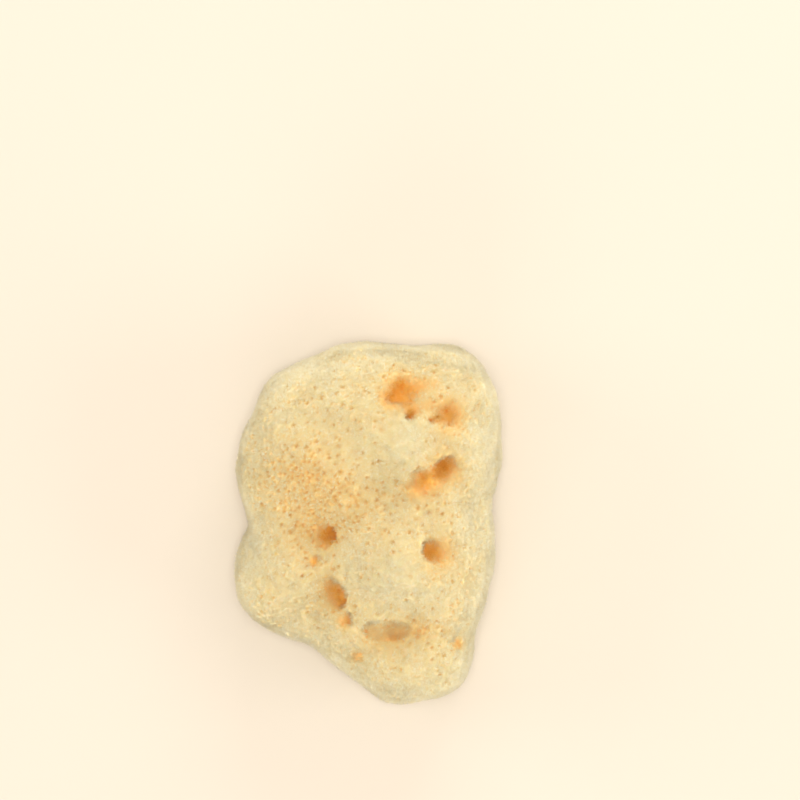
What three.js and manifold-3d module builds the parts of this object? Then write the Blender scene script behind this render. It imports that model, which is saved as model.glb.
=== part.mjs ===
// A dried and bleached bath sponge: one soft, lobed skeleton, cut flat where it grew on the rock
// and pierced by the wide canals through which the living animal let its water out.
// Millimetres, +Z up, +Y along the sponge. The origin lies on the cut face, under the middle of
// the sponge's box.

import * as THREE from 'three';
import { mergeVertices } from 'three/addons/utils/BufferGeometryUtils.js';
import Module from 'manifold-3d';

const wasm = await Module();
wasm.setup();

// Driving dimensions: the finished sponge measures exactly this. The places and sizes below are
// drawn close to it and are then stretched to fit.
const LENGTH = 96;
const WIDTH = 71;
const HEIGHT = 41;

const FOLD = 3.8; // how softly one lobe runs into the next
const SKIN_DETAIL = 15; // new points on each edge of the icosahedron that the skin starts from
const CANAL_SIDES = 12;
const CANAL_RINGS = 8;
const CANAL_LIP = 0.45; // how far a canal's shape stands out of its mouth, as a share of its depth

const FAR = 100; // well outside the sponge
const HEART = new THREE.Vector3(0, -3, 13); // every part of the skin can be seen from here
const MARCH_STEPS = 200; // the most steps taken on the way in to the skin
const MARCH_SHARE = 0.6; // of the gap that is left, which one step takes
const ON_SKIN = 1e-4; // the gap that counts as none
const LEAST_SLOPE = 1e-6; // keeps the middle of a lobe, where it has no slope, from a division by 0
const SAME_PLACE = 1e-4; // points nearer than this are one

// A ripple is the product of two waves, each in radians per millimetre along X, Y and Z.
const SKIN_RIPPLES = [
  { height: 0.8, waves: [new THREE.Vector3(0.2, 0.05, 0), new THREE.Vector3(0, 0.16, 0.13)] },
  { height: 0.5, waves: [new THREE.Vector3(0.27, 0, -0.23), new THREE.Vector3(0, 0.24, 0)] },
];
const WALL_RIPPLE = {
  height: 0.13, // the share by which a canal's wall wanders in and out
  waves: [new THREE.Vector3(1.9, 0, 1.1), new THREE.Vector3(0, 1.6, -0.9)],
};

// The lobes: the middle of each, and its half length along X, Y and Z.
const LOBES = [
  { name: 'crown', at: [-11, 19.5, 12], radii: [23, 24.5, 23] },
  { name: 'crown top', at: [0, 27, 12], radii: [18, 18, 22] },
  { name: 'left flank', at: [-20.5, 12, 12], radii: [13.5, 12, 19.5] },
  { name: 'right crown', at: [14, 27, 12], radii: [19.5, 18.5, 22] },
  { name: 'right corner', at: [20.5, 32, 11], radii: [11.5, 12, 20] },
  { name: 'shoulder', at: [22, 18, 12], radii: [11.5, 14, 20.5] },
  { name: 'ridge', at: [9, 21, 17], radii: [17, 11, 18] },
  { name: 'saddle', at: [15.6, 4.4, 11], radii: [10.8, 9.5, 20] },
  { name: 'hump', at: [14, -8, 12], radii: [20.2, 16.8, 26] },
  { name: 'hump brow', at: [3, -9, 14], radii: [11, 13, 22.5] },
  { name: 'middle', at: [-5, 3, 10], radii: [21, 20, 18] },
  { name: 'lower left', at: [-19, -13, 11], radii: [15.4, 15, 18.5] },
  { name: 'left corner', at: [-24, -19.5, 11], radii: [9.5, 9, 15] },
  { name: 'waist', at: [-2.5, -27.5, 10], radii: [11.5, 11.5, 18] },
  { name: 'right waist', at: [17.2, -22, 11], radii: [12, 13, 20] },
  { name: 'tail', at: [8.5, -35.5, 10], radii: [11.5, 11.5, 19] },
  { name: 'tail corner', at: [18, -37, 10], radii: [9.4, 10, 17.5] },
];

// The canals in the upper side. mouth is its place seen from above. The canal dives from there
// towards heading, degrees from +X, at dip degrees below the level, so the rim that it dives under
// is sharp and its floor comes up gently on the other side. across and tall are the width of its
// mouth, across the heading and along it.
const UPPER_CANALS = [
  { mouth: [9.3, 34.9], heading: 235, dip: 64, across: 9, tall: 8, depth: 4 },
  { mouth: [8.2, 36.6], heading: 230, dip: 75, across: 2.8, tall: 2.6, depth: 4.4 },
  { mouth: [6.7, 33.2], heading: 235, dip: 52, across: 4, tall: 2.8, depth: 4.6 },
  { mouth: [10.6, 34], heading: 300, dip: 52, across: 3.4, tall: 2.4, depth: 4 },
  { mouth: [11.4, 29.4], heading: 262, dip: 46, across: 3.4, tall: 3, depth: 5 },
  { mouth: [18.1, 27.6], heading: 200, dip: 48, across: 3, tall: 2.8, depth: 5.6 },
  { mouth: [21, 29.2], heading: 240, dip: 66, across: 6, tall: 5.6, depth: 2.8 },
  { mouth: [22.7, 27.8], heading: 235, dip: 54, across: 3.2, tall: 2.8, depth: 3.8 },
  { mouth: [21.2, 14.1], heading: 125, dip: 35, across: 8, tall: 5, depth: 7.5 },
  { mouth: [14.4, 11.8], heading: 128, dip: 34, across: 8.4, tall: 3.2, depth: 4.4 },
  { mouth: [18, -7.2], heading: 172, dip: 42, across: 6.8, tall: 5.6, depth: 6.4 },
  { mouth: [19.4, -9], heading: 200, dip: 60, across: 2.4, tall: 2.2, depth: 4 },
  { mouth: [-10.9, -2.6], heading: 8, dip: 40, across: 5.8, tall: 3.8, depth: 7 },
  { mouth: [-13.9, -9.2], heading: 20, dip: 60, across: 2, tall: 2, depth: 3 },
  { mouth: [-8.8, -19.4], heading: 8, dip: 40, across: 8.4, tall: 5.6, depth: 5.6 },
  { mouth: [-10.2, -15.2], heading: 45, dip: 60, across: 2.4, tall: 2.2, depth: 3.4 },
  { mouth: [-6, -25], heading: 5, dip: 42, across: 5.6, tall: 2.2, depth: 3.6 },
  { mouth: [1.8, -28.7], heading: 92, dip: 50, across: 8.2, tall: 6.6, depth: 3.8 },
  { mouth: [7.4, -28.8], heading: 84, dip: 50, across: 7.6, tall: 6, depth: 3.4 },
  { mouth: [11, -24.2], heading: 90, dip: 50, across: 1.6, tall: 2.2, depth: 3.6 },
  { mouth: [23.6, -31.1], heading: 150, dip: 60, across: 2, tall: 2, depth: 2.6 },
  { mouth: [-2.8, -34.4], heading: 60, dip: 50, across: 3, tall: 1.8, depth: 1.8 },
];

// The canals round the side: from is the direction they are seen from, degrees from +X, and level
// the height of the mouth.
const SIDE_CANALS = [
  { from: 176, level: 10, dip: 10, across: 4.2, tall: 4.6, depth: 10 },
  { from: 148, level: 12, dip: -8, across: 5, tall: 4, depth: 10 },
  { from: 104, level: 10, dip: 14, across: 4.4, tall: 4, depth: 9 },
  { from: 62, level: 9, dip: -14, across: 4.4, tall: 5, depth: 11 },
  { from: 24, level: 12, dip: 12, across: 4.6, tall: 3.6, depth: 10 },
  { from: -12, level: 9, dip: 16, across: 4.4, tall: 5, depth: 11 },
  { from: 212, level: 11, dip: 6, across: 4.8, tall: 4, depth: 10 },
  { from: -64, level: 9, dip: 10, across: 4, tall: 4.6, depth: 9 },
];

// The canals that the cut has opened, seen from below.
const CUT_CANALS = [
  { mouth: [-12, 20], heading: 60, dip: -64, across: 6.2, tall: 5.2, depth: 12 },
  { mouth: [9, 14], heading: 200, dip: -70, across: 5, tall: 6, depth: 10 },
  { mouth: [-14, -12], heading: 320, dip: -60, across: 5.4, tall: 4.4, depth: 9 },
  { mouth: [12, -20], heading: 110, dip: -66, across: 4.6, tall: 5.4, depth: 9 },
];

// About how far p is outside the lobe. It is negative inside.
function outsideLobe(p, lobe) {
  const scaled = new THREE.Vector3();
  const steep = new THREE.Vector3();
  for (const [axis, key] of ['x', 'y', 'z'].entries()) {
    const offset = p[key] - lobe.at[axis];
    scaled[key] = offset / lobe.radii[axis];
    steep[key] = offset / lobe.radii[axis] ** 2;
  }
  const size = scaled.length();
  return (size * (size - 1)) / Math.max(steep.length(), LEAST_SLOPE);
}

// The height of a ripple at a point.
function rippleAt(p, { height, waves: [one, other] }) {
  return height * Math.sin(p.dot(one)) * Math.cos(p.dot(other));
}

// About how far p is outside the skin: the lobes joined, with a rounded fold between them, and
// slow ripples, so that no lobe is a plain ellipsoid.
function outside(p) {
  const sum = LOBES.reduce((total, lobe) => total + Math.exp(-outsideLobe(p, lobe) / FOLD), 0);
  const rippled = SKIN_RIPPLES.reduce((total, ripple) => total + rippleAt(p, ripple), 0);
  return rippled - FOLD * Math.log(sum);
}

// The first point of the skin on the way in from a point outside.
function skinAlong(start, direction) {
  const p = start.clone();
  for (let step = 0; step < MARCH_STEPS; step += 1) {
    const gap = outside(p);
    if (gap < ON_SKIN) break;
    p.addScaledVector(direction, gap * MARCH_SHARE);
  }
  return p;
}

// The skin's highest point at a place seen from above.
function skinBelow(x, y) {
  return skinAlong(new THREE.Vector3(x, y, FAR), new THREE.Vector3(0, 0, -1));
}

// A geometry as a solid that can be cut.
function solid(geometry) {
  const bare = new THREE.BufferGeometry();
  bare.setAttribute('position', geometry.getAttribute('position'));
  if (geometry.index) bare.setIndex(geometry.index);
  const merged = mergeVertices(bare, SAME_PLACE);
  return new wasm.Manifold(new wasm.Mesh({
    numProp: 3,
    vertProperties: merged.attributes.position.array,
    triVerts: new Uint32Array(merged.index.array),
  }));
}

// The whole outside, with no canal in it and not yet cut: a ball whose points are moved along
// their rays from the heart until they lie on the skin.
function skin() {
  const ball = new THREE.IcosahedronGeometry(1, SKIN_DETAIL);
  const place = ball.attributes.position;
  const stretch = new THREE.Vector3(WIDTH, LENGTH, HEIGHT);
  for (let i = 0; i < place.count; i += 1) {
    const ray = new THREE.Vector3().fromBufferAttribute(place, i).multiply(stretch).normalize();
    const start = HEART.clone().addScaledVector(ray, FAR);
    const point = skinAlong(start, ray.negate());
    place.setXYZ(i, point.x, point.y, point.z);
  }
  return solid(ball);
}

// The directions along a canal, level and square to it, and square to both.
function canalFrame(heading, dip) {
  const level = THREE.MathUtils.degToRad(heading);
  const down = THREE.MathUtils.degToRad(dip);
  const dive = new THREE.Vector3(
    Math.cos(down) * Math.cos(level),
    Math.cos(down) * Math.sin(level),
    -Math.sin(down),
  );
  const side = new THREE.Vector3(-Math.sin(level), Math.cos(level), 0);
  return { side, dive, rise: side.clone().cross(dive) };
}

// One canal: an egg from its mouth to its blind end, with a short lip that stands out of the skin.
// Its wall wanders, which keeps it from being round.
function canal({ mouth, heading, dip, across, tall, depth }) {
  const { side, dive, rise } = canalFrame(heading, dip);
  const egg = new THREE.SphereGeometry(1, CANAL_SIDES, CANAL_RINGS);
  const place = egg.attributes.position;
  const turned = new THREE.Matrix4().makeBasis(side, dive, rise);
  for (let i = 0; i < place.count; i += 1) {
    const point = new THREE.Vector3().fromBufferAttribute(place, i);
    const reach = point.y < 0 ? depth * CANAL_LIP : depth;
    point.multiply(new THREE.Vector3(across / 2, reach, tall / 2)).applyMatrix4(turned);
    point.multiplyScalar(1 + rippleAt(point, WALL_RIPPLE)).add(mouth);
    place.setXYZ(i, point.x, point.y, point.z);
  }
  return solid(egg);
}

// Every canal, with its mouth set on the skin or on the cut.
function canals() {
  const upper = UPPER_CANALS.map((c) => canal({ ...c, mouth: skinBelow(...c.mouth) }));
  const round = SIDE_CANALS.map((c) => {
    const turn = THREE.MathUtils.degToRad(c.from);
    const inwards = new THREE.Vector3(-Math.cos(turn), -Math.sin(turn), 0);
    const start = new THREE.Vector3(HEART.x, HEART.y, c.level).addScaledVector(inwards, -FAR);
    return canal({ ...c, mouth: skinAlong(start, inwards), heading: c.from + 180 });
  });
  const cut = CUT_CANALS.map((c) => canal({ ...c, mouth: new THREE.Vector3(...c.mouth, 0) }));
  return [...upper, ...round, ...cut];
}

// Everything below the cut.
function rock() {
  return solid(new THREE.BoxGeometry(2 * FAR, 2 * FAR, FAR).translate(0, 0, -FAR / 2));
}

// The finished solid as a geometry, stretched to the driving dimensions, with its box centred over
// the origin and the cut at z = 0.
function spongeGeometry() {
  const cut = [rock(), ...canals()].reduce((left, taken) => left.subtract(taken), skin());
  const mesh = cut.getMesh();
  const geometry = new THREE.BufferGeometry();
  geometry.setAttribute('position', new THREE.BufferAttribute(mesh.vertProperties, 3));
  geometry.setIndex(new THREE.BufferAttribute(mesh.triVerts, 1));
  geometry.computeBoundingBox();
  const middle = geometry.boundingBox.getCenter(new THREE.Vector3());
  const size = geometry.boundingBox.getSize(new THREE.Vector3());
  geometry.translate(-middle.x, -middle.y, -geometry.boundingBox.min.z);
  geometry.scale(WIDTH / size.x, LENGTH / size.y, HEIGHT / size.z);
  geometry.computeVertexNormals();
  return geometry;
}

const bleachedSpongin = new THREE.MeshStandardMaterial({
  color: 0xf0dc9f,
  roughness: 0.95,
  metalness: 0,
});

const sponge = new THREE.Mesh(spongeGeometry(), bleachedSpongin);
sponge.name = 'sponge';

const part = new THREE.Group();
part.add(sponge);

export default part;
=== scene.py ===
# A dried and bleached bath sponge, lying on the flat cut where it grew on the rock.
# The body is the sponge's skeleton with its wide canals and its pores. On it stand the ends of
# the spongin fibres, gathered in small tufts, which give a bath sponge its velvet skin.

import math

import bpy
import numpy as np
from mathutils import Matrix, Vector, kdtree, noise
from mathutils.bvhtree import BVHTree


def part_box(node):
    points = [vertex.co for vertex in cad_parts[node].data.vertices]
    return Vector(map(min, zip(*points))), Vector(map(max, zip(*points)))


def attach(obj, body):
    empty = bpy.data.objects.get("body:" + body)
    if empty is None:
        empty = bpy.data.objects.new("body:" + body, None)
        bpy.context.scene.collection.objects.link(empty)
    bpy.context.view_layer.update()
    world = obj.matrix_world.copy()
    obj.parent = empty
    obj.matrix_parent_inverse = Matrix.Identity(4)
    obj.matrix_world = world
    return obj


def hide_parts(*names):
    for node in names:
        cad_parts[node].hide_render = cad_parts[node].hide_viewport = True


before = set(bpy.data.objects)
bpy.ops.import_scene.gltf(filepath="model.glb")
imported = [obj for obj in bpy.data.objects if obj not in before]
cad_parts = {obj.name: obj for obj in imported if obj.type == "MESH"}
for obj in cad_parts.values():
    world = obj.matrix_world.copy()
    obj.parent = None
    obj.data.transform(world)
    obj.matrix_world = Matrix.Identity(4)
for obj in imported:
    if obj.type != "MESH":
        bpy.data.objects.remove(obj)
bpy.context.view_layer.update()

MM = 0.001
NODE = "sponge"
UV_NAME = "OFBake"
BODY_HEIGHT = 0.75  # where on the map the body lies, and how far the painted shade of a pore or a mouth lowers it
BODY_PAINTED_SHADE = 0.45
FIBRE_HEIGHTS = np.array([0.55, 0.55, 0.55, 1.0])  # where a fibre's three foot corners and tip lie; the feet lie low, in painted shade
# how far the painted shade of a mouth lowers a fibre's feet and tip
FIBRE_PAINTED_SHADE = np.array([0.2, 0.2, 0.2, 0.55])
LOW, HIGH = (np.array(corner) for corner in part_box(NODE))
MIDDLE = (LOW + HIGH) / 2
RNG = np.random.default_rng(7)
noise.seed_set(7)  # without this, noise_vector differs from run to run

# ---------------------------------------------------------------- sizes

PILE = 0.75 * MM  # how long the fibre ends are, on average
INSET = 0.35 * MM  # how far the body lies inside the sponge's outer shape
ROUGH_VOXEL = 0.6 * MM  # the grid that the smooth form is remade on
FINE_VOXEL = 0.53 * MM  # and the finer one, into which the pores are pressed
SOFTEN_ROUNDS = 4  # how often the facets are smoothed

# The unevenness of the form: the size of its waves, and how far they move the skin.
WANDERS = [(5 * MM, 0.9 * MM), (1.8 * MM, 0.6 * MM), (0.9 * MM, 0.5 * MM)]

EASE_ROUNDS = 24  # how often the soft side of a mouth is averaged
RAGGED_SIZE = 1.3 * MM  # the size of the teeth round a mouth
RAGGED = 1.1 * MM  # and how far they stand

FOOT = 0.35 * MM  # how far the body stands above the cut fibre ends under it
GROUND = LOW[2] + 0.02 * MM  # no fibre end lies lower
LOWEST_PORE = LOW[2] + 0.3 * MM  # no pore is pressed lower, so that the cut stays flat
TOP_FROM = 12 * MM  # above the cut, where the flank starts to count as the upper side
TOP_OVER = 8 * MM  # and over what height it becomes it
BROWN_SIZE = 7 * MM  # how broad the uneven patches of brown are

# How warm the colour is, from 0, bleached cream, to 1, deep amber.
OPEN_WARMTH = 0.245  # of the pale, open skin
BROWN_WARMER = 0.12  # how much warmer brown skin is
STAIN_WARMER = 0.55  # and a stain
DEEP_WARMER = 0.52  # and the deepest inside of a canal, partly the unbleached spongin there, partly painted shade and the glow of light that passes through the sponge
PALER = 0.1  # how much paler the fibres are than the body under them, most where they see the most sky: partly their own colour, partly painted light
FLANK_PAINTED_LIGHT = 0.1  # how much paler the flanks are painted, as light to make up for the shade on them
STEEP = 0.7  # how far up the skin has to face to be no flank at all
OPEN_SKIN = 0.88  # how much sky the skin outside a canal sees
OPEN_FALL = 0.8  # and how much less the deepest inside sees

PORE_GAP = 1.1 * MM  # nearest distance between the middles of two pores
PORE_RADIUS = (0.2 * MM, 0.44 * MM)  # where the skin is closed, and where it is open
PORE_DEPTH = (0.25 * MM, 1.0 * MM)
PORE_SHARE = (0.5, 1.0)  # how many of the spots for a pore hold one
PALE_SHOWS = 0.22  # how wide and deep a pore is on pale skin, on a scale of 0 to 1
BROWN_SHOWS = 0.7  # how much wider and deeper on brown skin
FLANK_SHOWS = 0.3  # and on the flanks
SHOWS_SPREAD = 0.35  # how far it differs from pore to pore
PORE_DIMPLE = (0.45, 1.7)  # the wide dimple of a pore: its share of the depth, and its width
PORE_WELL = (0.55, 0.75)  # and its deeper middle
PORE_STRETCH = 0.45  # how far from round the longest pores are
PORE_WARMER = (0.05, 0.18)  # how much warmer a pore is at its middle, as painted warm shade
PORE_PAINTED_SHADE = (0.1, 0.6)  # and how much darker, as painted shade
TRIES = 6  # how many spots are tried for each pore or tuft that there is room for

TUFT_GAP = 0.56 * MM  # nearest distance between the middles of two tufts
TUFT_FIBRES = 11  # in each tuft
TUFT_TONE = 0.055  # how far the tufts differ from each other in warmth
FIBRE_TONE = 0.02  # and the fibres of a tuft
SPECKLE = 0.012  # and the ends of a fibre
PALE_FROM = 0.7  # how much sky a tuft sees where its paleness, partly painted light, is full
TUFT_SPREAD = 0.34 * MM  # how far a tuft's roots lie from its middle
TUFT_HEIGHT = (0.65, 1.15)  # the lowest and the tallest tuft, against the pile
FIBRE_LENGTH = (0.8, 1.2)  # the shortest and the longest fibre of a tuft, against the tuft
FIBRE_WIDTHS = (0.75, 1.3)  # the thinnest and the thickest fibre, against the width below
SPLAY = (-0.3, 0.9)  # how far a fibre leans towards the tuft's middle, and away from it
FIBRE_WIDTH = 0.17 * MM  # wider than real spongin, which is too fine to show
LEAST_FIBRE = 0.15 * MM  # a fibre end that comes out shorter is left off
ROOT_DEPTH = 0.12 * MM  # how far a fibre end starts inside the body
TIP_SCATTER = 0.07 * MM
ROUNDNESS = 0.6  # how far a fibre's sides shade as a round thread's, against the skin's own way up
RIM_EXTRA = 0.8  # how much longer the longest fibres round a mouth are
RIM_OPEN = 0.62  # how much sky the rim of a mouth sees
RIM_BAND = 0.16  # and how far from that the fibres still grow longer
NAP_SIZE = 7 * MM  # over what distance the pile turns to lie another way
NAP_LEAN = 0.55  # and how far it leans there
MOST_FIBRES = 244000  # past this they are thinned out
PIECE_FIBRES = 49500  # of four triangles each, so that a piece stays under 200,000
THIN_FROM = 0.15  # how much sky a place sees where the tufts have thinned out most
THIN_OVER = 0.45  # and how much more where they stand close
INNER_SHARE = 0.12  # how many of the tufts are kept deep in a canal, where they hardly show
CUT_SHARE = 0.1  # and under the sponge, where the knife took them off

FELT_SIZE = 0.45 * MM  # the fine unevenness of the matted fibres in the finish
FELT_DEPTH = 0.12 * MM

OPEN_RAYS = 14  # sent out from each place to see how open it lies
OPEN_REACH = 9 * MM
OPEN_START = 0.15 * MM  # above the skin, where they start
OPEN_LEAN = 0.97  # the sine of the most that they lean from the normal

# Where the skin is browner and its pores open wider: place across and along from the middle and
# reach, in millimetres, and strength. A negative strength is a paler, closer place.
BLOTCHES = [
    (-12, 8, 11, 1.0),
    (-26, 12, 12, 0.5),
    (-20, -14, 12, -0.1),
    (-14, -4, 7, 0.45),
    (5, 3, 10, 0.35),
    (10, 34, 7, 0.35),
    (20, 29, 6, 0.35),
    (16, 11, 6, 0.3),
    (15, -26, 8, 0.3),
    (-10, -20, 6, 0.3),
    (12, 22, 9, -0.5),
    (0, 42, 14, 0.1),
    (8, -14, 9, -0.35),
    (28, 14, 12, 0.05),
    (18, -42, 10, -0.2),
]

# The gentle side of each mouth, where the skin sinks softly into the canal: place, reach and depth,
# in millimetres.
HOLLOWS = [
    (10.6, 36.6, 4.4, 1.5),
    (14, 32.6, 2.6, 0.8),
    (11.8, 31, 2, 0.8),
    (20.4, 30, 4.2, 1.5),
    (15.2, 36.2, 1.6, 0.6),
    (18.6, 36.3, 1.7, 0.6),
    (21.6, 12.9, 3.8, 1.8),
    (17.6, 13.4, 1.8, 1.2),
    (15, 10.4, 3.2, 1.2),
    (20.6, -7.2, 4.4, 2.1),
    (-12.9, -2.8, 2.8, 1.1),
    (-11, -19.6, 3.8, 1.5),
    (-7, -24.6, 2, 0.7),
    (2, -31.6, 3.4, 1.8),
    (7.6, -31.4, 3.4, 1.7),
    (2, -28.6, 2.4, 0.1),
    (7.4, -28.4, 2.4, 0.1),
    (-11.2, -17.6, 2.2, 0.5),
    (12.6, -26.8, 2, 0.6),
]

# Where the inside of a mouth, or the skin by it, is stained amber: place, reach and strength.
STAINS = [
    (8.8, 35.2, 3.7, 0.75),
    (6.2, 32.6, 2.2, 0.6),
    (4.8, 33.2, 1.8, 0.4),
    (13, 35.6, 1.6, 0.35),
    (9.5, 31.5, 1.8, 0.35),
    (11.8, 30, 2.1, 0.6),
    (20.8, 28.8, 3.3, 0.85),
    (14.6, 36.4, 1.5, 0.3),
    (17.4, 36.6, 1.5, 0.3),
    (15.6, 31.2, 1.7, 0.3),
    (20.6, 14.6, 4.2, 0.5),
    (15.6, 11.6, 3, 0.65),
    (14.2, 12.8, 1.8, 0.3),
    (12.2, 9.6, 2.4, 0.45),
    (18.6, -7.2, 4.2, 0.5),
    (-10.8, -2.8, 3, 0.48),
    (-13.9, -9.2, 1.1, 0.9),
    (-9.4, -19.4, 4.4, 0.25),
    (-10.2, -15.2, 2, 0.3),
    (-6, -25, 1.8, 0.6),
    (1.6, -28.8, 4, 0.21),
    (7.6, -28.8, 4, 0.19),
    (12.6, -26.6, 3, 0.25),
    (23.6, -31.1, 1.3, 0.8),
    (-2.8, -34.4, 1.5, 0.55),
]

# Painted shade: the darkest spots inside the mouths and on their ragged side, where shade falls: place,
# reach and strength.
PAINTED_SHADE_SPOTS = [
    (8.6, 37.2, 1.3, 0.5),
    (6.4, 33.6, 1.5, 0.5),
    (9.8, 31.2, 0.9, 0.4),
    (11.2, 29.6, 1.1, 0.7),
    (18.2, 28, 1.1, 0.9),
    (22.4, 28.6, 1.0, 0.4),
    (19.6, 15.4, 1.8, 0.8),
    (15.2, 12.8, 1.3, 0.35),
    (13.2, 11.4, 1.1, 0.25),
    (16.2, -7, 1.5, 0.5),
    (-10.2, -3.2, 2.2, 0.45),
    (-7.2, -19.8, 1.2, 0.4),
    (-5.6, -25, 1.0, 0.4),
    (1.4, -27.2, 1.2, 0.2),
]

# ---------------------------------------------------------------- small helpers


def linear(code):
    """A colour written as sRGB hex, as linear values with an alpha of 1."""
    shares = [int(code[i:i + 2], 16) / 255 for i in (1, 3, 5)]
    return [s / 12.92 if s <= 0.04045 else ((s + 0.055) / 1.055) ** 2.4 for s in shares] + [1.0]


def add(tree, kind, settings=None, **inputs):
    """A new node with its settings, and its inputs given a value or linked to another's output. An
    input is called by its name, or by _ and its number."""
    made = tree.nodes.new(kind)
    for name, value in (settings or {}).items():
        setattr(made, name, value)
    for name, value in inputs.items():
        socket = made.inputs[int(name[1:])] if name[0] == "_" else made.inputs[name.replace("_", " ")]
        if isinstance(value, bpy.types.NodeSocket):
            tree.links.new(value, socket)
        else:
            socket.default_value = value
    return made


def unit(vectors):
    return vectors / np.maximum(np.linalg.norm(vectors, axis=-1, keepdims=True), 1e-12)


def only(piece):
    """Deselects everything, then selects one piece and makes it active."""
    bpy.ops.object.select_all(action="DESELECT")
    piece.select_set(True)
    bpy.context.view_layer.objects.active = piece


def finish_with(piece, kind, **settings):
    """Adds a modifier and applies it."""
    only(piece)
    modifier = piece.modifiers.new(kind.lower(), kind)
    for name, value in settings.items():
        setattr(modifier, name, value)
    bpy.ops.object.modifier_apply(modifier=modifier.name)


# ---------------------------------------------------------------- the body


def smooth_body():
    """The whole skeleton without pores, a little inside the sponge's outer shape."""
    body = bpy.data.objects.new("sponge_body", bpy.data.objects[NODE].data.copy())
    bpy.context.scene.collection.objects.link(body)
    body.data.materials.clear()
    outer = HIGH - LOW
    inner = outer - [2 * INSET, 2 * INSET, INSET + FOOT]
    only(body)
    bpy.ops.object.mode_set(mode="EDIT")
    bpy.ops.mesh.select_all(action="SELECT")
    bpy.ops.mesh.remove_doubles(threshold=0.001 * MM)
    bpy.ops.transform.resize(value=tuple(inner / outer), center_override=tuple(MIDDLE))
    bpy.ops.transform.translate(value=(0, 0, (FOOT - INSET) / 2))
    bpy.ops.object.mode_set(mode="OBJECT")
    finish_with(body, "REMESH", mode="VOXEL", voxel_size=ROUGH_VOXEL)
    finish_with(body, "SMOOTH", factor=0.5, iterations=SOFTEN_ROUNDS)
    for number, (size, strength) in enumerate(WANDERS):
        clouds = bpy.data.textures.new(f"wander_{number}", "CLOUDS")
        clouds.cloud_type = "COLOR"
        clouds.noise_scale = size
        finish_with(body, "DISPLACE", texture=clouds, texture_coords="LOCAL",
                    direction="RGB_TO_XYZ", strength=strength, mid_level=0.5)
    ease_mouths(body)
    finish_with(body, "REMESH", mode="VOXEL", voxel_size=FINE_VOXEL)
    finish_with(body, "SMOOTH", factor=0.5, iterations=1)
    bpy.ops.object.shade_smooth()
    return body


def marks(places, rows):
    """The sum of the rows' soft spots at each place: 0 away from them, up to the strength at a middle."""
    across = (places[:, 0] - MIDDLE[0]) / MM
    along = (places[:, 1] - MIDDLE[1]) / MM
    total = np.zeros(len(places))
    for x, y, reach, strength in rows:
        total += strength * np.exp(-((across - x) ** 2 + (along - y) ** 2) / reach ** 2)
    return total


def on_top(places):
    """1 on the upper side, falling to 0 towards the cut."""
    return np.clip((places[:, 2] - LOW[2] - TOP_FROM) / TOP_OVER, 0, 1)


def ease_mouths(body):
    """Sinks and rounds the skin on the gentle side of each mouth, and makes the rest of it ragged."""
    places = vertex_places(body.data)
    top = on_top(places)
    share = np.clip(marks(places, [(x, y, reach, 1) for x, y, reach, _ in HOLLOWS]), 0, 1) * top
    places[:, 2] -= marks(places, HOLLOWS) * top * MM
    ends = edge_ends(body.data)
    for _ in range(EASE_ROUNDS):
        mean = np.stack([averaged(places[:, axis], ends, 1) for axis in range(3)], 1)
        places += (mean - places) * share[:, None]
    near = np.clip(marks(places, [(x, y, reach, 1) for x, y, reach, _ in STAINS]) * 1.5, 0, 1)
    teeth = np.array([noise.noise_vector(Vector(p) / RAGGED_SIZE) for p in places.tolist()])
    places += teeth * RAGGED * (near * top * (1 - share))[:, None]
    body.data.vertices.foreach_set("co", places.astype(np.float32).ravel())
    body.data.update()


def vertex_places(mesh):
    places = np.empty(len(mesh.vertices) * 3, np.float32)
    mesh.vertices.foreach_get("co", places)
    return places.reshape(-1, 3).astype(float)


def vertex_normals(mesh):
    normals = np.empty(len(mesh.vertices) * 3, np.float32)
    mesh.vertex_normals.foreach_get("vector", normals)
    return normals.reshape(-1, 3).astype(float)


def triangles(mesh):
    mesh.calc_loop_triangles()
    corners = np.empty(len(mesh.loop_triangles) * 3, np.int32)
    mesh.loop_triangles.foreach_get("vertices", corners)
    return corners.reshape(-1, 3)


def edge_ends(mesh):
    ends = np.empty(len(mesh.edges) * 2, np.int32)
    mesh.edges.foreach_get("vertices", ends)
    return ends.reshape(-1, 2)


def averaged(values, ends, rounds):
    """Values at the vertices, each made the mean of itself and its neighbours, some rounds over."""
    both = np.concatenate([ends, ends[:, ::-1]])
    count = np.bincount(both[:, 0], minlength=len(values)) + 1
    for _ in range(rounds):
        values = (values + np.bincount(both[:, 0], values[both[:, 1]], len(values))) / count
    return values


def across_frames(normals):
    """Two directions across each normal, square to each other."""
    helper = np.where(np.abs(normals[:, 2:]) < 0.9, [[0.0, 0.0, 1.0]], [[1.0, 0.0, 0.0]])
    first = unit(np.cross(helper, normals))
    return first, np.cross(normals, first)


def openness(body, places, normals):
    """The share of the sky that each vertex sees, as far as a canal is wide: 1 outside, near 0 deep
    in a canal."""
    tree = BVHTree.FromObject(body, bpy.context.evaluated_depsgraph_get())
    first, second = across_frames(normals)
    start = places + normals * OPEN_START
    seen = np.zeros(len(places))
    for ray in range(OPEN_RAYS):
        lean = math.sqrt((ray + 0.5) / OPEN_RAYS) * OPEN_LEAN
        turn = ray * math.pi * (3 - math.sqrt(5))
        way = (first * (lean * math.cos(turn)) + second * (lean * math.sin(turn))
               + normals * math.sqrt(1 - lean * lean))
        for i, (at, along) in enumerate(zip(start.tolist(), way.tolist())):
            seen[i] += tree.ray_cast(at, along, OPEN_REACH)[0] is None
    return seen / OPEN_RAYS


def browning(places):
    """How brown and open the skin is at each place, about -0.5 to 1.2."""
    slow = np.array([noise.noise(Vector(p) / BROWN_SIZE) for p in places.tolist()])
    return marks(places, BLOTCHES) + 0.35 * slow


# ---------------------------------------------------------------- scattering on the skin


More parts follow.
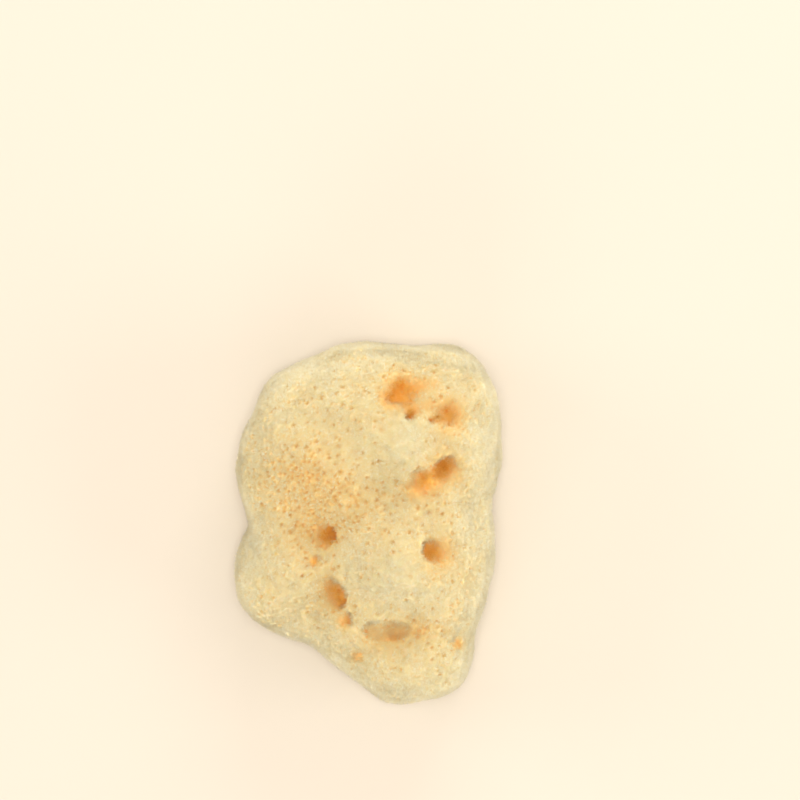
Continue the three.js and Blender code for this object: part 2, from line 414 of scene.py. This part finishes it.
class Skin:
    """The smooth body as arrays, to scatter things on."""

    def __init__(self, body):
        mesh = body.data
        self.places = vertex_places(mesh)
        self.normals = vertex_normals(mesh)
        self.corners = triangles(mesh)
        self.ends = edge_ends(mesh)
        first, second, third = (self.places[self.corners[:, i]] for i in range(3))
        self.areas = np.linalg.norm(np.cross(second - first, third - first), axis=1) / 2
        self.open_share = None
        self.warmth = None
        self.paler = None
        self.painted_shade = None

    def anywhere(self, count):
        """Random spots: the triangle and the three shares of its corners."""
        chosen = RNG.choice(len(self.corners), count, p=self.areas / self.areas.sum())
        a, b = RNG.random((2, count))
        a, b = np.where(a + b > 1, 1 - a, a), np.where(a + b > 1, 1 - b, b)
        return chosen, np.stack([1 - a - b, a, b], 1)

    def read(self, values, spots):
        """The vertices' values, read at spots between them."""
        chosen, shares = spots
        at = values[self.corners[chosen]]
        if values.ndim == 1:
            return (at * shares).sum(1)
        return (at * shares[:, :, None]).sum(1)

    def spaced(self, gap):
        """Spots no nearer to each other than the gap."""
        spots = self.anywhere(int(TRIES * self.areas.sum() / gap ** 2))
        places = self.read(self.places, spots)
        tree = tree_of(places)
        free = np.ones(len(places), bool)
        kept = []
        for i, place in enumerate(places.tolist()):
            if not free[i]:
                continue
            kept.append(i)
            for _, j, _ in tree.find_range(place, gap):
                free[j] = False
        return spots[0][kept], spots[1][kept]


def tree_of(places):
    tree = kdtree.KDTree(len(places))
    for i, place in enumerate(places.tolist()):
        tree.insert(place, i)
    tree.balance()
    return tree


# ---------------------------------------------------------------- pores


def mixed(low_high, share):
    """The low value at a share of 0, the high one at 1."""
    return low_high[0] + (low_high[1] - low_high[0]) * np.clip(share, 0, 1)


class Pores:
    """The small holes of the skin, wider and deeper where the skin is brown, and seldom round."""

    def __init__(self, skin):
        spots = skin.spaced(PORE_GAP)
        places = skin.read(skin.places, spots)
        show = PALE_SHOWS + BROWN_SHOWS * browning(places) + FLANK_SHOWS * (1 - on_top(places))
        held = RNG.random(len(places)) < mixed(PORE_SHARE, show)
        show = show[held] + RNG.normal(0, SHOWS_SPREAD, held.sum())
        self.places = places[held]
        self.radii = mixed(PORE_RADIUS, show)
        self.depths = mixed(PORE_DEPTH, show)
        self.shows = np.clip(show, 0, 1)
        self.long_ways = unit(RNG.normal(0, 1, self.places.shape))
        self.stretch = RNG.uniform(0, PORE_STRETCH, len(self.places))
        self.tree = tree_of(self.places)

    def hollow(self, places):
        """How far into a pore each place lies, below 0 outside it and 1 at its middle, and which pore
        it is."""
        pore = np.empty(len(places), int)
        for i, place in enumerate(places.tolist()):
            pore[i] = self.tree.find(place)[1]
        offset = places - self.places[pore]
        along = (offset * self.long_ways[pore]).sum(1)
        gap = np.sqrt(np.maximum((offset ** 2).sum(1) - self.stretch[pore] * along ** 2, 0))
        return 1 - gap / self.radii[pore], pore


def press_pores(body, skin, pores):
    """Presses each pore into the body, as a wide dimple with a deeper middle. Returns how far each
    vertex is pressed, 0 to 1, and its pore."""
    inside, pore = pores.hollow(skin.places)
    gap = np.maximum(1 - inside, 0)
    press = sum(share * np.exp(-(gap / width) ** 2) for share, width in (PORE_DIMPLE, PORE_WELL))
    moved = skin.places - skin.normals * (press * pores.depths[pore])[:, None]
    moved[:, 2] = np.maximum(moved[:, 2], LOWEST_PORE)
    body.data.vertices.foreach_set("co", moved.astype(np.float32).ravel())
    body.data.update()
    return press, pore


# ---------------------------------------------------------------- fibres


SPIKE = [(0, 1, 3), (1, 2, 3), (2, 0, 3), (2, 1, 0)]


def spikes(name, roots, tips, widths, tones, painted_shades, ups):
    """One piece of many slim three-sided spikes, each with a closed foot. They shade as the skin
    that they stand on does, because light goes through such thin fibres."""
    first, second = across_frames(unit(tips - roots))
    spin = RNG.uniform(0, 2 * math.pi, len(roots))
    corners, facings = [], []
    for corner in range(3):
        turn = spin + corner * 2 * math.pi / 3
        rim = first * np.cos(turn)[:, None] + second * np.sin(turn)[:, None]
        corners.append(roots + rim * (widths / 2)[:, None])
        facings.append(unit(ups + ROUNDNESS * rim))
    places = np.stack(corners + [tips], 1).reshape(-1, 3)
    facings = np.stack(facings + [ups], 1).reshape(-1, 3)
    faces = (np.arange(len(roots))[:, None, None] * 4 + np.array(SPIKE)).reshape(-1, 3)
    mesh = bpy.data.meshes.new(name)
    mesh.vertices.add(len(places))
    mesh.vertices.foreach_set("co", places.astype(np.float32).ravel())
    mesh.loops.add(faces.size)
    mesh.loops.foreach_set("vertex_index", faces.ravel().astype(np.int32))
    mesh.polygons.add(len(faces))
    mesh.polygons.foreach_set("loop_start", np.arange(0, faces.size, 3, dtype=np.int32))
    mesh.update(calc_edges=True)
    mesh.normals_split_custom_set_from_vertices(facings.tolist())
    tone = np.repeat(tones, 4) + RNG.uniform(-SPECKLE, SPECKLE, len(places))
    put_uv(mesh, tone, (FIBRE_HEIGHTS - painted_shades[:, None] * FIBRE_PAINTED_SHADE).ravel())
    piece = bpy.data.objects.new(name, mesh)
    bpy.context.scene.collection.objects.link(piece)
    return piece


def put_uv(mesh, tone, height):
    """The map that the finish reads: across it the warmth of the fibre, and up it the way from the
    painted shade of a pore or a mouth, past a fibre's root and the body, to a fibre's tip."""
    layer = mesh.uv_layers.new(name=UV_NAME, do_init=False)
    corner = np.empty(len(mesh.loops), np.int32)
    mesh.loops.foreach_get("vertex_index", corner)
    both = np.stack([np.clip(tone, 0, 1), np.clip(height, 0, 1)], 1)[corner]
    layer.uv.foreach_set("vector", (0.01 + 0.98 * both).astype(np.float32).ravel())


def fibre_pile(skin, pores):
    """The fibre ends that stand in tufts on the skin: their roots, tips, widths, warmth, painted shade
    and ways up. Few stand deep in a canal or on the cut, and none in a pore."""
    spots = skin.spaced(TUFT_GAP)
    middles = skin.read(skin.places, spots)
    ups = unit(skin.read(skin.normals, spots))
    shown = skin.read(skin.open_share, spots)
    share = np.clip((shown - THIN_FROM) / THIN_OVER, INNER_SHARE, 1)
    on_the_cut = (ups[:, 2] < -0.8) & (middles[:, 2] < LOW[2] + 2 * MM)
    share[on_the_cut] = CUT_SHARE
    inside, _ = pores.hollow(middles)
    held = (inside < -0.1) & (RNG.random(len(middles)) < share)
    middles, ups, shown = middles[held], ups[held], shown[held]
    warmth = skin.read(skin.warmth, spots)[held]
    paler = skin.read(skin.paler, spots)[held]
    painted_shades = skin.read(skin.painted_shade, spots)[held]
    rim = np.exp(-((shown - RIM_OPEN) / RIM_BAND) ** 2)
    nap = np.array([noise.noise_vector(Vector(p) / NAP_SIZE) for p in middles.tolist()]) * NAP_LEAN
    tall = RNG.uniform(*TUFT_HEIGHT, len(middles))

    every = np.repeat(np.arange(len(middles)), TUFT_FIBRES)
    every = every[RNG.random(len(every)) < MOST_FIBRES / len(every)]
    total = len(every)
    ups = ups[every]
    first, second = across_frames(ups)
    reach = TUFT_SPREAD * np.sqrt(RNG.random(total))
    turn = RNG.uniform(0, 2 * math.pi, total)
    foot = first * np.cos(turn)[:, None] + second * np.sin(turn)[:, None]
    roots = middles[every] + foot * reach[:, None] - ups * ROOT_DEPTH
    lean = unit(ups + nap[every] + foot * RNG.uniform(*SPLAY, total)[:, None])
    long = PILE * tall[every] * RNG.uniform(*FIBRE_LENGTH, total)
    long = long * (1 + RIM_EXTRA * rim[every] * RNG.random(total))
    tips = middles[every] + foot * (reach * 0.5)[:, None] + lean * long[:, None]
    tips += RNG.normal(0, TIP_SCATTER, (total, 3))
    tips[:, 2] = np.maximum(tips[:, 2], GROUND)
    roots[:, 2] = np.maximum(roots[:, 2], GROUND + FOOT)
    kept = np.linalg.norm(tips - roots, axis=1) > LEAST_FIBRE
    widths = FIBRE_WIDTH * RNG.uniform(*FIBRE_WIDTHS, total)
    # Paler where a tuft sees more sky: partly the fibres' own colour, partly painted light.
    tones = (warmth - paler * np.clip(shown / PALE_FROM, 0, 1) ** 2)[every]
    tones += RNG.normal(0, FIBRE_TONE, total)
    tones += RNG.normal(0, TUFT_TONE, len(middles))[every]
    return [values[kept] for values in (roots, tips, widths, tones, painted_shades[every], ups)]


# ---------------------------------------------------------------- finish


def bleached_spongin(name, scatter, sheen):
    """Spongin is a horny protein. Washed and bleached fibres are cream at their ends, where the
    light gets in, and amber to red-brown inside the sponge. They are matt, with a soft sheen. Low on
    the map the colour also takes painted shade and painted warm shade, in pores, mouths and the pile."""
    material = bpy.data.materials.new(name)
    material.use_nodes = True
    tree = material.node_tree
    tree.nodes.clear()
    uv_map = add(tree, "ShaderNodeUVMap", {"uv_map": UV_NAME})
    shares = add(tree, "ShaderNodeSeparateXYZ", Vector=uv_map.outputs["UV"])
    # Painted warm shade: warmer low on the map, at the root of a fibre than at its tip, and in a pore or
    # a mouth.
    rooted = add(tree, "ShaderNodeMath", {"operation": "MULTIPLY_ADD"},
                 _0=shares.outputs["Y"], _1=-0.2, _2=0.2)
    warmth = add(tree, "ShaderNodeMath", {"operation": "ADD", "use_clamp": True},
                 _0=shares.outputs["X"], _1=rooted.outputs[0])
    ramp = add(tree, "ShaderNodeValToRGB", Fac=warmth.outputs[0])
    stops = [(0.0, "#EDEAD4"), (0.12, "#E9E2BF"), (0.28, "#E4D4A2"), (0.46, "#E7C482"), (0.64, "#F0BB70"),
             (0.82, "#F2B558"), (1.0, "#F5AA45")]
    band = ramp.color_ramp
    while len(band.elements) < len(stops):
        band.elements.new(0.5)
    for element, (at, code) in zip(band.elements, stops):
        element.position = at
        element.color = linear(code)
    # Painted shade: darker low on the map, where a pore or a mouth lies in its own shade, and at the
    # fibres' feet in the pile.
    sunken = add(tree, "ShaderNodeMath", {"operation": "MULTIPLY_ADD", "use_clamp": True},
                 _0=shares.outputs["Y"], _1=-2.0, _2=1.44)
    shaded = add(tree, "ShaderNodeMix", {"data_type": "RGBA", "blend_type": "MULTIPLY"},
                 _0=sunken.outputs[0], _6=ramp.outputs["Color"], _7=linear("#CBB46E"))
    place = add(tree, "ShaderNodeTexCoord")
    felt = add(tree, "ShaderNodeTexNoise", Vector=place.outputs["Object"], Scale=1 / FELT_SIZE,
               Detail=3.0, Roughness=0.6)
    bump = add(tree, "ShaderNodeBump", Height=felt.outputs["Fac"], Strength=0.7, Distance=FELT_DEPTH)
    shader = add(tree, "ShaderNodeBsdfPrincipled", Base_Color=shaded.outputs[2],
                 Normal=bump.outputs["Normal"])
    shader.inputs["Roughness"].default_value = 0.85
    shader.inputs["IOR"].default_value = 1.54  # as horn and hair
    shader.inputs["Specular IOR Level"].default_value = 0.25
    shader.inputs["Sheen Weight"].default_value = sheen
    shader.inputs["Sheen Tint"].default_value = linear("#FFE9B8")
    shader.inputs["Sheen Roughness"].default_value = 0.5
    if scatter:
        shader.inputs["Subsurface Weight"].default_value = 0.7
        shader.inputs["Subsurface Radius"].default_value = (1.0, 0.75, 0.45)  # warm light goes furthest
        shader.inputs["Subsurface Scale"].default_value = scatter
    add(tree, "ShaderNodeOutputMaterial", Surface=shader.outputs["BSDF"])
    return material


# ---------------------------------------------------------------- stage


FLOOR_SIZE = 8.0
SIDE_LIGHTS = [(-0.7, 0.15, 2.3), (0.15, 0.7, 3.5), (0.7, -0.15, 3.2), (-0.15, -0.7, 2.5)]  # place, watts


def stage():
    bpy.ops.object.select_all(action="DESELECT")
    bpy.ops.mesh.primitive_plane_add(size=FLOOR_SIZE, location=(MIDDLE[0], MIDDLE[1], LOW[2]))
    floor = bpy.context.object
    floor.name = "floor"
    paper = bpy.data.materials.new("matt_paper_floor")
    paper.use_nodes = True
    shader = paper.node_tree.nodes["Principled BSDF"]
    shader.inputs["Base Color"].default_value = linear("#D2C8B9")
    shader.inputs["Roughness"].default_value = 0.9
    floor.data.materials.append(paper)
    world = bpy.data.worlds.new("studio")
    world.use_nodes = True
    world.node_tree.nodes["Background"].inputs["Color"].default_value = linear("#FFF2E2")
    world.node_tree.nodes["Background"].inputs["Strength"].default_value = 0.64
    bpy.context.scene.world = world


def softbox(name, place, size, power):
    """A square lamp that looks at the sponge."""
    light = bpy.data.lights.new(name, "AREA")
    light.size = size
    light.energy = power
    lamp = bpy.data.objects.new(name, light)
    lamp.location = place
    lamp.rotation_euler = (Vector(MIDDLE) - Vector(place)).to_track_quat("-Z", "Y").to_euler()
    bpy.context.scene.collection.objects.link(lamp)


def camera():
    """Straight above, with the sponge a little left of and below the middle of the picture."""
    picture = 210.4 * MM  # what the picture spans at the height of the sponge's middle
    away = 700 * MM
    lens = bpy.data.cameras.new("camera")
    lens.sensor_width = 36
    lens.lens = 36 * away / picture
    lens.clip_start = 0.01
    lens.clip_end = 20
    eye = bpy.data.objects.new("camera", lens)
    eye.location = (MIDDLE[0] + 8.4 * MM, MIDDLE[1] + 32.6 * MM, MIDDLE[2] + away)
    bpy.context.scene.collection.objects.link(eye)
    bpy.context.scene.camera = eye
    bpy.context.scene.view_settings.view_transform = "Standard"


# ---------------------------------------------------------------- making it

camera()
stage()
softbox("top_softbox", (0.01, 0.03, 1.2), 0.35, 7.8)
for number, (across, along, power) in enumerate(SIDE_LIGHTS, 1):
    softbox(f"side_softbox_{number}", (across, along, 0.2), 0.5, power)

body = smooth_body()
skin = Skin(body)
skin.open_share = averaged(openness(body, skin.places, skin.normals), skin.ends, 4)
brown = np.clip(browning(skin.places), -0.5, 1)
# The less sky a place sees, the warmer and darker its colour and the stronger a stain: partly the
# unbleached inside of a canal, partly painted shade and glow.
deep = np.clip((OPEN_SKIN - skin.open_share) / OPEN_FALL, 0, 1)
flank = np.clip(1 - skin.normals[:, 2] / STEEP, 0, 1) * np.clip(1 - 2 * deep, 0, 1)
stain = marks(skin.places, STAINS) * on_top(skin.places)
warmth = deep * DEEP_WARMER + stain * (STAIN_WARMER + deep) + BROWN_WARMER * brown + OPEN_WARMTH
# The flanks are painted paler, standing in for light.
skin.warmth = np.clip(warmth - FLANK_PAINTED_LIGHT * flank, 0, 1)
skin.paler = PALER * (1 - np.clip(stain, 0, 1))
# Painted shade in the mouths, carried onto the body's and the fibres' map.
skin.painted_shade = np.clip(marks(skin.places, PAINTED_SHADE_SPOTS) * on_top(skin.places), 0, 1)
pores = Pores(skin)
press, pore = press_pores(body, skin, pores)
# Each pore gets painted warm shade and painted shade at its middle, and the mouths' painted shade spots
# are added to it.
pore_warmth = press * mixed(PORE_WARMER, pores.shows[pore])
dark = press * mixed(PORE_PAINTED_SHADE, pores.shows[pore]) * (1 - np.clip(2 * stain, 0, 0.9))
dark = np.clip(dark + skin.painted_shade, 0, 1)
put_uv(body.data, skin.warmth + pore_warmth + RNG.uniform(-0.01, 0.01, len(press)),
       BODY_HEIGHT - BODY_PAINTED_SHADE * dark)
body.data.materials.append(bleached_spongin("bleached_spongin_body", 5 * MM, 0.2))
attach(body, "root")
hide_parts(NODE)

pile = bleached_spongin("bleached_spongin_pile", 0, 0.8)
parts = fibre_pile(skin, pores)
order = np.argsort(parts[0][:, 1])
for number, start in enumerate(range(0, len(order), PIECE_FIBRES)):
    chosen = order[start:start + PIECE_FIBRES]
    piece = spikes(f"fibre_pile_{number + 1}", *(values[chosen] for values in parts))
    piece.data.materials.append(pile)
    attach(piece, "root")
